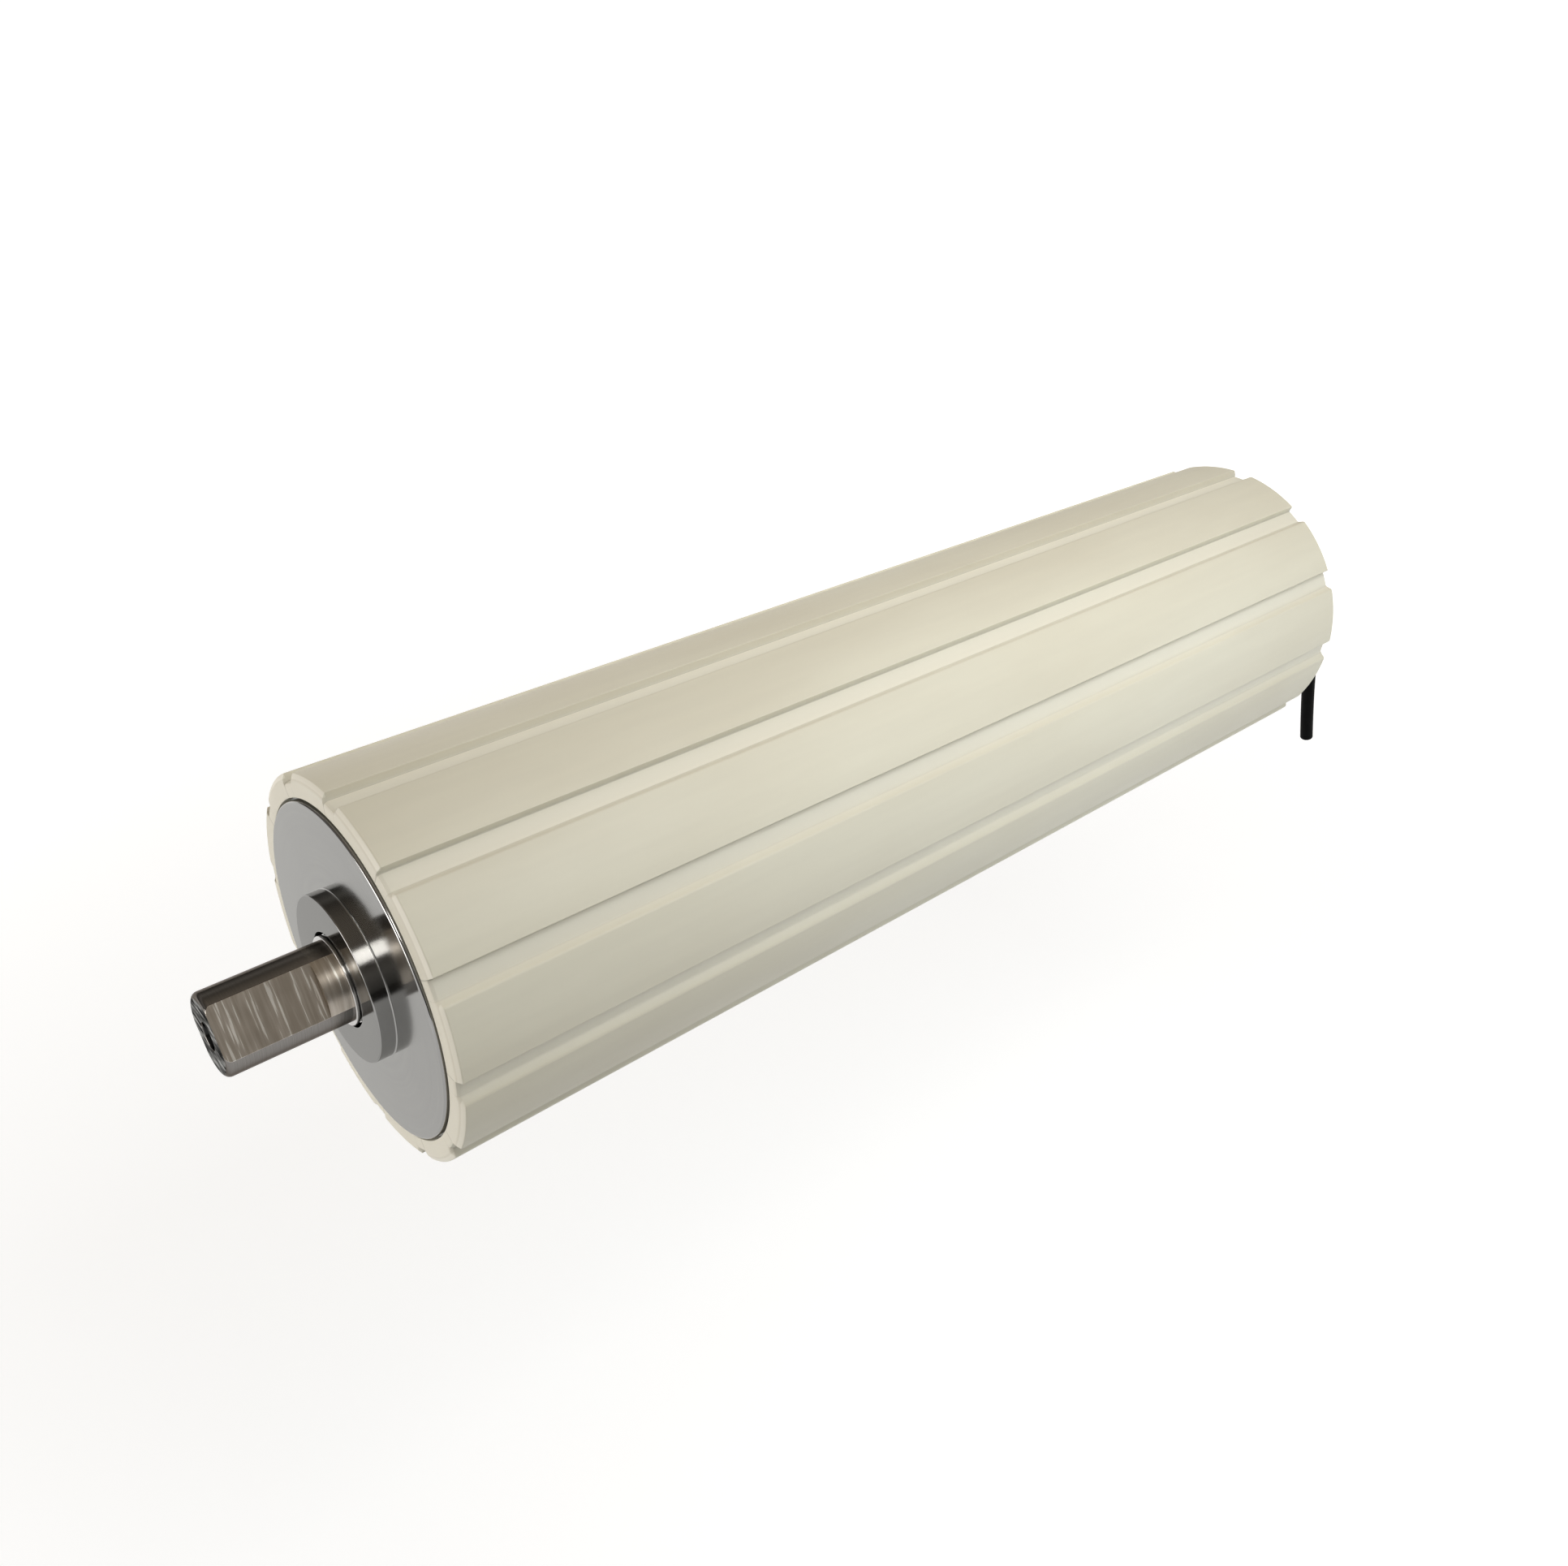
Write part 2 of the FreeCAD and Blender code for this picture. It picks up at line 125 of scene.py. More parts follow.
class Finish:
    """A node material that is laid out step by step."""

    def __init__(self, name, colour, metal, roughness):
        self.material = bpy.data.materials.new(name)
        self.material.use_nodes = True
        self.nodes = self.material.node_tree.nodes
        self.links = self.material.node_tree.links
        self.shader = self.nodes["Principled BSDF"]
        self.shader.inputs["Base Color"].default_value = (*colour, 1)
        self.shader.inputs["Metallic"].default_value = metal
        self.shader.inputs["Roughness"].default_value = roughness
        self.place = self.nodes.new("ShaderNodeTexCoord").outputs["Object"]

    def join(self, source, target):
        self.links.new(source, target)

    def stretched(self, scale, turn=(0, 0, 0)):
        """Object coordinates, turned and then drawn out."""
        node = self.nodes.new("ShaderNodeMapping")
        node.inputs["Rotation"].default_value = [math.radians(t) for t in turn]
        node.inputs["Scale"].default_value = scale
        self.join(self.place, node.inputs["Vector"])
        return node.outputs["Vector"]

    def radius(self):
        """Distance from the drum's axis."""
        node = self.nodes.new("ShaderNodeVectorMath")
        node.operation = "LENGTH"
        self.join(self.stretched((0, 1, 1)), node.inputs[0])
        return node.outputs["Value"]

    def noise(self, place, scale, detail):
        node = self.nodes.new("ShaderNodeTexNoise")
        node.inputs["Scale"].default_value = scale
        node.inputs["Detail"].default_value = detail
        node.inputs["Roughness"].default_value = 0.5
        self.join(place, node.inputs["Vector"])
        return node.outputs["Fac"]

    def line_noise(self, value, scale, detail):
        """Noise along one measure, such as the rings that a lathe tool leaves."""
        node = self.nodes.new("ShaderNodeTexNoise")
        node.noise_dimensions = "1D"
        node.inputs["Scale"].default_value = scale
        node.inputs["Detail"].default_value = detail
        node.inputs["Roughness"].default_value = 0.6
        self.join(value, node.inputs["W"])
        return node.outputs["Fac"]

    def ranged(self, value, low, high, to_low, to_high):
        """A value brought from one range to another, and held at its ends."""
        node = self.nodes.new("ShaderNodeMapRange")
        node.inputs["From Min"].default_value = low
        node.inputs["From Max"].default_value = high
        node.inputs["To Min"].default_value = to_low
        node.inputs["To Max"].default_value = to_high
        self.join(value, node.inputs["Value"])
        return node.outputs["Result"]

    def shades(self, value, stops):
        """A colour ramp from (position, colour) stops."""
        node = self.nodes.new("ShaderNodeValToRGB")
        ramp = node.color_ramp
        while len(ramp.elements) < len(stops):
            ramp.elements.new(0.5)
        for element, (position, colour) in zip(ramp.elements, stops):
            element.position = position
            element.color = (*colour, 1)
        self.join(value, node.inputs["Fac"])
        return node.outputs["Color"]

    def mixed(self, share, first, second):
        """Two colours mixed by a share that varies over the surface."""
        node = self.nodes.new("ShaderNodeMix")
        node.data_type = "RGBA"
        self.join(share, node.inputs["Factor"])
        for colour, socket in ((first, node.inputs[6]), (second, node.inputs[7])):
            if isinstance(colour, tuple):
                socket.default_value = (*colour, 1)
            else:
                self.join(colour, socket)
        return node.outputs[2]

    def calc(self, first, second, way="ADD"):
        """One step of arithmetic."""
        node = self.nodes.new("ShaderNodeMath")
        node.operation = way
        for value, socket in ((first, node.inputs[0]), (second, node.inputs[1])):
            if isinstance(value, (int, float)):
                socket.default_value = value
            else:
                self.join(value, socket)
        return node.outputs["Value"]

    def parts_of(self, place):
        """A place's three measures."""
        node = self.nodes.new("ShaderNodeSeparateXYZ")
        self.join(place, node.inputs[0])
        return node.outputs["X"], node.outputs["Y"], node.outputs["Z"]

    def set(self, name, value):
        """Sets one of the shader's inputs to a constant or to a step's outcome."""
        socket = self.shader.inputs[name]
        if isinstance(value, (int, float)):
            socket.default_value = value
        else:
            self.join(value, socket)

    def bump(self, height, depth):
        """A relief in the shading, with its depth in metres."""
        node = self.nodes.new("ShaderNodeBump")
        node.inputs["Strength"].default_value = 1.0
        node.inputs["Distance"].default_value = depth
        self.join(height, node.inputs["Height"])
        self.join(node.outputs["Normal"], self.shader.inputs["Normal"])

    def turned_sheen(self, amount, turn):
        """Highlights that fan out from the axis, as on a turned face."""
        node = self.nodes.new("ShaderNodeTangent")
        node.direction_type = "RADIAL"
        node.axis = "X"
        self.join(node.outputs["Tangent"], self.shader.inputs["Tangent"])
        self.shader.inputs["Anisotropic"].default_value = amount
        self.shader.inputs["Anisotropic Rotation"].default_value = turn


def cream_polyurethane():
    finish = Finish("cream_polyurethane", (0.66, 0.62, 0.51), 0.0, 0.45)
    clouds = finish.noise(finish.stretched((3, 9, 9)), 2.2, 4)
    streaks = finish.noise(finish.stretched((4, 70, 70)), 3.0, 3)
    tint = finish.shades(clouds, [(0.3, (0.66, 0.615, 0.495)), (0.7, (0.72, 0.684, 0.563))])
    tint = finish.mixed(finish.ranged(streaks, 0.35, 0.75, 0.0, 0.22), tint, (0.60, 0.565, 0.47))
    # The grooves are painted paler than the lugs' tops: painted light.
    painted_groove_light = finish.ranged(finish.radius(), 0.0692, 0.0717, 0.65, 0.0)
    tint = finish.mixed(painted_groove_light, tint, (0.78, 0.745, 0.645))
    # The lugs' rounded ends are painted a paler tint: a painted highlight.
    along, across, up = finish.parts_of(finish.place)
    from_middle = finish.calc(finish.calc(along, MIDDLE * MM, "SUBTRACT"), 0.0, "ABSOLUTE")
    near_end = finish.ranged(from_middle, 0.2506, 0.2509, 0.0, 1.0)
    on_lug = finish.ranged(finish.radius(), 0.0700, 0.0704, 0.0, 0.7)
    tint = finish.mixed(finish.calc(near_end, on_lug, "MULTIPLY"), tint, (0.90, 0.865, 0.76))
    # Painted shade lies in dark lines along both sides of each groove's floor: at a turn, over a width, in
    # a share.
    turn = finish.calc(finish.calc(across, -1.0, "MULTIPLY"), up, "ARCTAN2")
    past_lug = finish.calc(turn, math.radians(360 - MID_LUG))
    pitch = finish.calc(past_lug, math.radians(PITCH), "FLOORED_MODULO")
    for line, width, share in ((FOOT + 0.2, 0.35, 0.45), (RISE + 0.1, 0.3, 0.10)):
        past_line = finish.calc(pitch, math.radians(line - MID_LUG), "SUBTRACT")
        beside = finish.calc(past_line, 0.0, "ABSOLUTE")
        painted_crease_shade = finish.ranged(beside, 0.0, math.radians(width), share, 0.0)
        tint = finish.mixed(painted_crease_shade, tint, (0.20, 0.18, 0.13))
    finish.set("Base Color", tint)
    fine = finish.noise(finish.stretched((1, 1, 1)), 900, 2)
    broad = finish.noise(finish.stretched((0.4, 1, 1)), 60, 3)
    finish.set("Roughness", finish.ranged(finish.calc(fine, broad), 0.7, 1.3, 0.40, 0.52))
    finish.bump(finish.calc(finish.calc(fine, 0.25, "MULTIPLY"), broad), 0.00006)
    return finish.material


def turned_steel():
    finish = Finish("turned_housing_steel", (0.38, 0.378, 0.372), 1.0, 0.14)
    away = finish.radius()
    rings = finish.line_noise(away, 2600, 5)
    wide = finish.line_noise(away, 420, 2)
    haze = finish.noise(finish.stretched((1, 1, 1)), 55, 4)
    tint = finish.shades(finish.calc(wide, haze, "MULTIPLY"), [
        (0.12, (0.315, 0.313, 0.308)), (0.42, (0.335, 0.333, 0.326))])
    # The bosses are painted darker than the discs: painted shade.
    along = finish.parts_of(finish.place)[0]
    from_middle = finish.calc(finish.calc(along, MIDDLE * MM, "SUBTRACT"), 0.0, "ABSOLUTE")
    on_boss = finish.ranged(from_middle, 0.2585, 0.2589, 0.0, 0.8)
    finish.set("Base Color", finish.mixed(on_boss, tint, (0.26, 0.258, 0.254)))
    finish.set("Specular Tint", finish.mixed(on_boss, (0.82, 0.82, 0.81), (0.66, 0.66, 0.65)))
    finish.set("Roughness", finish.ranged(finish.calc(rings, haze), 0.7, 1.3, 0.10, 0.17))
    finish.bump(rings, 0.000002)
    finish.turned_sheen(0.35, 0.25)
    return finish.material


def ground_shaft_steel():
    finish = Finish("ground_shaft_steel", (0.36, 0.34, 0.32), 1.0, 0.2)
    # The flats show the milling cutter's lines, and the round side fine grinding rings.
    along, _, out = finish.parts_of(finish.stretched((1, 1, 1), (-FLAT_TURN, 0, 0)))
    on_flat = finish.ranged(finish.calc(out, 0.0, "ABSOLUTE"), 0.01142, 0.01147, 0.0, 1.0)
    cuts = finish.noise(finish.stretched((800, 48, 48), (-FLAT_TURN, 0, 0)), 1.0, 2)
    lines = finish.shades(cuts, [
        (0.40, (0.48, 0.43, 0.37)), (0.615, (0.60, 0.55, 0.49)), (0.66, (1.0, 0.98, 0.93))])
    ground = finish.line_noise(along, 3200, 3)
    # The round side is painted much darker than the flats: painted shade.
    round_tint = finish.shades(ground, [(0.3, (0.19, 0.180, 0.171)), (0.7, (0.24, 0.229, 0.219))])
    tint = finish.mixed(on_flat, round_tint, lines)
    # The front tip is sawn, its marks painted in strong dark and light bands, partly real saw marks and
    # partly painted reflection; the centre hole in it is painted dark, as painted shade.
    on_tip = finish.ranged(along, -0.01745, -0.01735, 1.0, 0.0)
    sawn = finish.noise(finish.stretched((1, 130, 520), (-FLAT_TURN - 25, 0, 0)), 1.0, 3)
    sawn_and_glint_tint = finish.shades(sawn, [
        (0.38, (0.09, 0.09, 0.088)), (0.52, (0.25, 0.25, 0.245)), (0.66, (0.52, 0.52, 0.51))])
    tint = finish.mixed(on_tip, tint, sawn_and_glint_tint)
    # Painted shade: the centre hole is painted near black.
    in_hole = finish.ranged(finish.radius(), 0.0048, 0.0052, 1.0, 0.0)
    edge = finish.mixed(on_tip, (0.38, 0.36, 0.34), sawn_and_glint_tint)
    finish.set("Base Color", finish.mixed(in_hole, tint, (0.02, 0.02, 0.02)))
    finish.set("Specular Tint", finish.mixed(in_hole, edge, (0.05, 0.05, 0.05)))
    haze = finish.noise(finish.stretched((1, 1, 1)), 140, 3)
    finish.set("Roughness", finish.calc(finish.ranged(haze, 0.3, 0.7, 0.13, 0.22),
                                       finish.calc(on_flat, 0.18, "MULTIPLY")))
    finish.bump(finish.mixed(on_flat, ground, cuts), 0.000008)
    return finish.material


def polished_ring_steel():
    finish = Finish("polished_ring_steel", (0.52, 0.51, 0.50), 1.0, 0.18)
    rings = finish.line_noise(finish.radius(), 3000, 4)
    haze = finish.noise(finish.stretched((1, 1, 1)), 200, 3)
    finish.set("Base Color", finish.shades(haze, [(0.3, (0.48, 0.47, 0.46)), (0.7, (0.58, 0.57, 0.56))]))
    finish.set("Roughness", finish.ranged(rings, 0.3, 0.7, 0.13, 0.25))
    finish.bump(rings, 0.000005)
    return finish.material


def nickel_plate():
    finish = Finish("nickel_plated_brass", (0.62, 0.58, 0.50), 1.0, 0.25)
    haze = finish.noise(finish.stretched((1, 1, 1)), 160, 4)
    finish.set("Base Color", finish.shades(haze, [(0.35, (0.58, 0.54, 0.46)), (0.65, (0.68, 0.64, 0.56))]))
    finish.set("Roughness", finish.ranged(haze, 0.3, 0.7, 0.18, 0.34))
    finish.bump(haze, 0.00001)
    return finish.material


def black_jacket():
    finish = Finish("black_cable_jacket", (0.012, 0.012, 0.012), 0.0, 0.45)
    grain = finish.noise(finish.stretched((1, 1, 1)), 1400, 2)
    scuffs = finish.noise(finish.stretched((1, 1, 1)), 120, 4)
    finish.set("Base Color", finish.shades(scuffs, [
        (0.4, (0.0015, 0.0015, 0.0015)), (0.75, (0.003, 0.003, 0.003))]))
    finish.set("Roughness", finish.ranged(grain, 0.3, 0.7, 0.42, 0.56))
    finish.set("Specular IOR Level", 0.04)
    finish.bump(grain, 0.00003)
    return finish.material


def black_rubber():
    finish = Finish("matt_black_rubber", (0.02, 0.02, 0.02), 0.0, 0.7)
    grain = finish.noise(finish.stretched((1, 1, 1)), 700, 3)
    finish.set("Base Color", finish.shades(grain, [
        (0.3, (0.014, 0.014, 0.014)), (0.7, (0.032, 0.031, 0.03))]))
    finish.set("Roughness", finish.ranged(grain, 0.3, 0.7, 0.6, 0.8))
    finish.bump(grain, 0.00004)
    return finish.material


def plain_tube_steel():
    finish = Finish("plain_tube_steel", (0.5, 0.5, 0.48), 1.0, 0.35)
    drawn = finish.noise(finish.stretched((8, 160, 160)), 1.0, 4)
    finish.set("Base Color", finish.shades(drawn, [(0.3, (0.44, 0.44, 0.42)), (0.7, (0.56, 0.56, 0.54))]))
    finish.set("Roughness", finish.ranged(drawn, 0.3, 0.7, 0.28, 0.42))
    finish.bump(drawn, 0.00002)
    return finish.material


def machined_gear_steel():
    finish = Finish("machined_gear_steel", (0.42, 0.42, 0.43), 1.0, 0.3)
    along = finish.parts_of(finish.place)[0]
    hobbed = finish.line_noise(along, 1800, 3)
    oil = finish.noise(finish.stretched((1, 1, 1)), 90, 3)
    finish.set("Base Color", finish.shades(oil, [(0.3, (0.34, 0.34, 0.35)), (0.7, (0.48, 0.48, 0.49))]))
    finish.set("Roughness", finish.ranged(oil, 0.3, 0.7, 0.2, 0.38))
    finish.bump(hobbed, 0.00001)
    return finish.material


def ground_bearing_steel():
    finish = Finish("ground_bearing_steel", (0.6, 0.6, 0.62), 1.0, 0.15)
    rings = finish.line_noise(finish.radius(), 2400, 4)
    finish.set("Base Color", finish.shades(rings, [(0.3, (0.55, 0.55, 0.57)), (0.7, (0.66, 0.66, 0.68))]))
    finish.set("Roughness", finish.ranged(rings, 0.3, 0.7, 0.1, 0.22))
    finish.bump(rings, 0.000006)
    return finish.material


def cast_aluminium():
    finish = Finish("cast_aluminium", (0.6, 0.6, 0.6), 1.0, 0.5)
    sand = finish.noise(finish.stretched((1, 1, 1)), 420, 4)
    finish.set("Base Color", finish.shades(sand, [(0.3, (0.52, 0.52, 0.52)), (0.7, (0.66, 0.66, 0.66))]))
    finish.set("Roughness", finish.ranged(sand, 0.3, 0.7, 0.42, 0.6))
    finish.bump(sand, 0.00005)
    return finish.material


def laminated_iron():
    finish = Finish("laminated_core_iron", (0.28, 0.28, 0.29), 1.0, 0.45)
    along = finish.parts_of(finish.place)[0]
    sheets = finish.calc(finish.calc(along, SHEET_WAVES, "MULTIPLY"), 0.0, "SINE")
    finish.set("Base Color", finish.shades(finish.ranged(sheets, -1, 1, 0, 1), [
        (0.1, (0.16, 0.16, 0.17)), (0.5, (0.32, 0.32, 0.33))]))
    mottle = finish.noise(finish.stretched((1, 1, 1)), 150, 3)
    finish.set("Roughness", finish.ranged(mottle, 0.3, 0.7, 0.36, 0.55))
    finish.bump(sheets, 0.00003)
    return finish.material


def enamelled_copper():
    finish = Finish("enamelled_copper", (0.52, 0.2, 0.08), 1.0, 0.3)
    wires = finish.calc(finish.calc(finish.radius(), WIRE_WAVES, "MULTIPLY"), 0.0, "SINE")
    finish.set("Base Color", finish.shades(finish.ranged(wires, -1, 1, 0, 1), [
        (0.1, (0.25, 0.08, 0.03)), (0.6, (0.62, 0.26, 0.11))]))
    varnish = finish.noise(finish.stretched((1, 1, 1)), 130, 3)
    finish.set("Roughness", finish.ranged(varnish, 0.3, 0.7, 0.2, 0.4))
    finish.bump(wires, 0.0001)
    return finish.material


def silicone_sleeve():
    finish = Finish("red_silicone_sleeve", (0.35, 0.03, 0.025), 0.0, 0.5)
    braid = finish.noise(finish.stretched((1, 1, 1)), 900, 2)
    finish.set("Base Color", finish.shades(braid, [(0.3, (0.26, 0.022, 0.018)), (0.7, (0.42, 0.05, 0.04))]))
    finish.set("Roughness", finish.ranged(braid, 0.3, 0.7, 0.4, 0.6))
    finish.bump(braid, 0.00004)
    return finish.material


# Modelling steps

# Edges flatter than this are shaded smooth: on lathe pieces, on the lagging and on pieces with eased edges
TURNED_SMOOTH = 35
LAGGING_SMOOTH = 40
EASED_SMOOTH = 30


def choose(piece):
    """Makes a piece the active one, and the only one that is selected."""
    bpy.ops.object.select_all(action="DESELECT")
    piece.select_set(True)
    bpy.context.view_layer.objects.active = piece


def pick(piece, test):
    """Selects the points that pass the test, with the edges and faces between them, in edit mode."""
    bpy.ops.mesh.select_mode(type="VERT")
    bpy.ops.mesh.select_all(action="DESELECT")
    mesh = bmesh.from_edit_mesh(piece.data)
    for vertex in mesh.verts:
        if test(vertex.co):
            vertex.select_set(True)
    mesh.select_flush(True)
    bmesh.update_edit_mesh(piece.data)


def start_point(name, place):
    """A new piece in edit mode that is one point, ready to be drawn on."""
    bpy.ops.object.select_all(action="DESELECT")
    bpy.ops.mesh.primitive_plane_add(size=0.01)
    piece = bpy.context.object
    piece.name = name
    piece.data.name = name
    bpy.ops.object.mode_set(mode="EDIT")
    bpy.ops.mesh.select_all(action="SELECT")
    bpy.ops.mesh.merge(type="CENTER")
    bpy.ops.transform.translate(value=place)
    return piece


def draw_profile(name, points):
    """A chain of edges from point to point."""
    piece = start_point(name, points[0])
    for here, there in zip(points, points[1:]):
        bpy.ops.mesh.extrude_vertices_move(TRANSFORM_OT_translate={"value": there - here})
    bpy.ops.mesh.select_all(action="SELECT")
    bpy.ops.mesh.remove_doubles(threshold=SAME_PLACE)
    return piece


def round_corner(piece, corner, reach, steps):
    """Rounds a corner of a drawn profile, from a reach before it to a reach after it."""
    pick(piece, lambda point: (point - corner).length < NEAR_BY)
    bpy.ops.mesh.bevel(offset=reach * MM, segments=steps, profile=0.5, affect="VERTICES")


def close_up(angle):
    """Merges doubles, turns the faces outwards and shades what is rounder than the angle smooth."""
    bpy.ops.mesh.select_all(action="SELECT")
    bpy.ops.mesh.remove_doubles(threshold=SAME_PLACE)
    bpy.ops.mesh.normals_make_consistent(inside=False)
    bpy.ops.object.mode_set(mode="OBJECT")
    bpy.ops.object.shade_smooth_by_angle(angle=math.radians(angle))


def turned(name, outline, rounds, steps, turn=0.0):
    """A lathe piece. The outline holds (x, radius), and the rounds hold (x, radius, reach, steps)."""
    piece = draw_profile(name, [around(x, turn, radius) for x, radius in outline])
    for x, radius, reach, count in rounds:
        round_corner(piece, around(x, turn, radius), reach, count)
    bpy.ops.mesh.select_all(action="SELECT")
    bpy.ops.mesh.spin(steps=steps, angle=math.radians(360), center=(0, 0, 0), axis=(1, 0, 0))
    close_up(TURNED_SMOOTH)
    return keep_faces_true(piece)


def turned_round(piece, name):
    """A copy for the rear end, mirrored across the drum's middle."""
    choose(piece)
    bpy.ops.object.duplicate()
    copy = bpy.context.object
    copy.name = name
    copy.data.name = name
    bpy.ops.object.mode_set(mode="EDIT")
    bpy.ops.mesh.select_all(action="SELECT")
    bpy.ops.transform.resize(value=(-1, 1, 1), center_override=mm(MIDDLE, 0, 0))
    bpy.ops.object.mode_set(mode="OBJECT")
    bpy.ops.mesh.customdata_custom_splitnormals_clear()
    bpy.ops.object.mode_set(mode="EDIT")
    close_up(TURNED_SMOOTH)
    return keep_faces_true(copy)


def keep_faces_true(piece):
    """Lets the large faces keep their own shading, so that narrow roundings stay narrow."""
    choose(piece)
    true = piece.modifiers.new("true", "WEIGHTED_NORMAL")
    true.keep_sharp = True
    bpy.ops.object.modifier_apply(modifier="true")
    return piece


def cut_with(piece, cutter, way="DIFFERENCE"):
    """Applies a boolean with another piece, which is then thrown away."""
    choose(piece)
    cut = piece.modifiers.new("cut", "BOOLEAN")
    cut.operation = way
    cut.solver = "EXACT"
    cut.object = cutter
    bpy.ops.object.modifier_apply(modifier="cut")
    bpy.data.objects.remove(cutter)


def ease_edges(piece, width):
    """Breaks the sharp edges with a small bevel."""
    choose(piece)
    ease = piece.modifiers.new("ease", "BEVEL")
    ease.width = width * MM
    ease.segments = 2
    ease.limit_method = "ANGLE"
    ease.angle_limit = math.radians(EASED_SMOOTH)
    bpy.ops.object.modifier_apply(modifier="ease")
    bpy.ops.object.shade_smooth_by_angle(angle=math.radians(EASED_SMOOTH))
    keep_faces_true(piece)


def dress(piece, body, slot, material, *nodes):
    """Gives a piece its finish, its body and the solids that it stands for."""
    piece.data.materials.clear()
    piece.data.materials.append(material)
    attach(piece, body)
    if nodes:
        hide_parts(*nodes)


cream = cream_polyurethane()
housing_steel = turned_steel()
shaft_steel = ground_shaft_steel()
ring_steel = polished_ring_steel()
nickel = nickel_plate()
jacket = black_jacket()
rubber = black_rubber()


# Power cable: straight out of the gland, over and down to its cut end

cable_points = [
    (600.5, 0, 0), (624.5, 0, 0), (645.5, 0, -12), (659.5, 0, -36.5), (668.0, 0, -91.5), (684.5, 0, -140.1),
]
bpy.ops.object.select_all(action="DESELECT")
bpy.ops.curve.primitive_nurbs_path_add()
cable = bpy.context.object
cable.name = "power_cable_line"
cable.data.splines.clear()
line = cable.data.splines.new("NURBS")
line.points.add(len(cable_points) - 1)
for point, place in zip(line.points, cable_points):
    point.co = (*mm(*place), 1)
line.order_u = 3
line.use_endpoint_u = True
line.resolution_u = 16
cable.data.dimensions = "3D"
cable.data.bevel_depth = CABLE_RADIUS * MM
cable.data.bevel_resolution = 6
cable.data.use_fill_caps = True
dress(cable, "fixed_core", "cable_jacket", jacket, "power_cable")


# Lagging sleeve: one lug and groove is drawn, run along the drum and copied round it

def lagging_sleeve():
    crown = [MID_LUG + (LUG_LOW - MID_LUG) * k / 5 for k in range(6)]
    floor = [FOOT + (RISE - FOOT) * k / 2 for k in range(3)]
    next_crown = [CREST + (MID_LUG + PITCH - CREST) * k / 5 for k in range(6)]
    outline = [around(SLEEVE_START, turn, LUG_TOP) for turn in crown]
    outline += [around(SLEEVE_START, turn, GROOVE) for turn in floor]
    outline += [around(SLEEVE_START, turn, LUG_TOP) for turn in next_crown]
    piece = draw_profile("lagging_sleeve", outline)
    round_corner(piece, around(SLEEVE_START, LUG_LOW, LUG_TOP), 0.3, 3)
    round_corner(piece, around(SLEEVE_START, FOOT, GROOVE), 0.35, 3)
    round_corner(piece, around(SLEEVE_START, RISE, GROOVE), 0.3, 3)
    round_corner(piece, around(SLEEVE_START, CREST, LUG_TOP), 0.7, 4)
    # Rows along the drum: distance from its end, the lug's radius there and the groove's.
    # At each end the rows close in, so that lug and groove both run out in a rounding.
    ends = [(0.0, 69.2, 67.2), (0.12, 69.8, 67.9), (0.4, 70.35, 68.45),
            (1.15, 71.75, 68.75), (1.35, 71.95, 68.85), (1.7, 72.0, 68.9)]
    length = SLEEVE_END - SLEEVE_START
    rows = [distance for distance, _, _ in ends]
    rows += [length - distance for distance, _, _ in reversed(ends)]
    bpy.ops.mesh.select_all(action="SELECT")
    for here, there in zip(rows, rows[1:]):
        bpy.ops.mesh.extrude_edges_move(TRANSFORM_OT_translate={"value": mm(there - here, 0, 0)})
    limits = [(SLEEVE_START + distance, lug, groove) for distance, lug, groove in ends]
    limits += [(SLEEVE_END - distance, lug, groove) for distance, lug, groove in ends]
    for x, lug, groove in limits:
        pull_row(piece, x, lug, groove)
    bpy.ops.mesh.select_all(action="SELECT")
    bpy.ops.mesh.spin(steps=LUG_COUNT - 1, dupli=True, angle=math.radians(360 - PITCH),
                      center=(0, 0, 0), axis=(1, 0, 0))
    bpy.ops.mesh.select_all(action="SELECT")
    bpy.ops.mesh.remove_doubles(threshold=2 * SAME_PLACE)
    for x, inward in ((SLEEVE_START, 1), (SLEEVE_END, -1)):
        wrap_end(piece, x, inward)
    pick(piece, lambda point: abs(off_axis(point) - SHELL * MM) < NEAR_BY)
    bpy.ops.mesh.bridge_edge_loops()
    close_up(LAGGING_SMOOTH)
    return keep_faces_true(piece)


def pull_row(piece, x, lug, groove):
    """Brings one row down, the lug's top to one radius and the groove's floor to another."""
    mesh = bmesh.from_edit_mesh(piece.data)
    row = [v.co for v in mesh.verts if abs(v.co.x - x * MM) < SAME_PLACE]
    heights = {round(off_axis(point) * MICRONS_IN_METRE) for point in row}
    for height in sorted(heights):
        radius = height * MICRON
        wanted = groove + (lug - groove) * (radius - GROOVE) / (LUG_TOP - GROOVE)
        if radius > wanted + MICRON:
            pick(piece, lambda point: abs(point.x - x * MM) < SAME_PLACE
                 and abs(off_axis(point) * MICRONS_IN_METRE - height) < 0.6)
            share = wanted / radius
            bpy.ops.transform.resize(value=(1, share, share), center_override=mm(x, 0, 0))


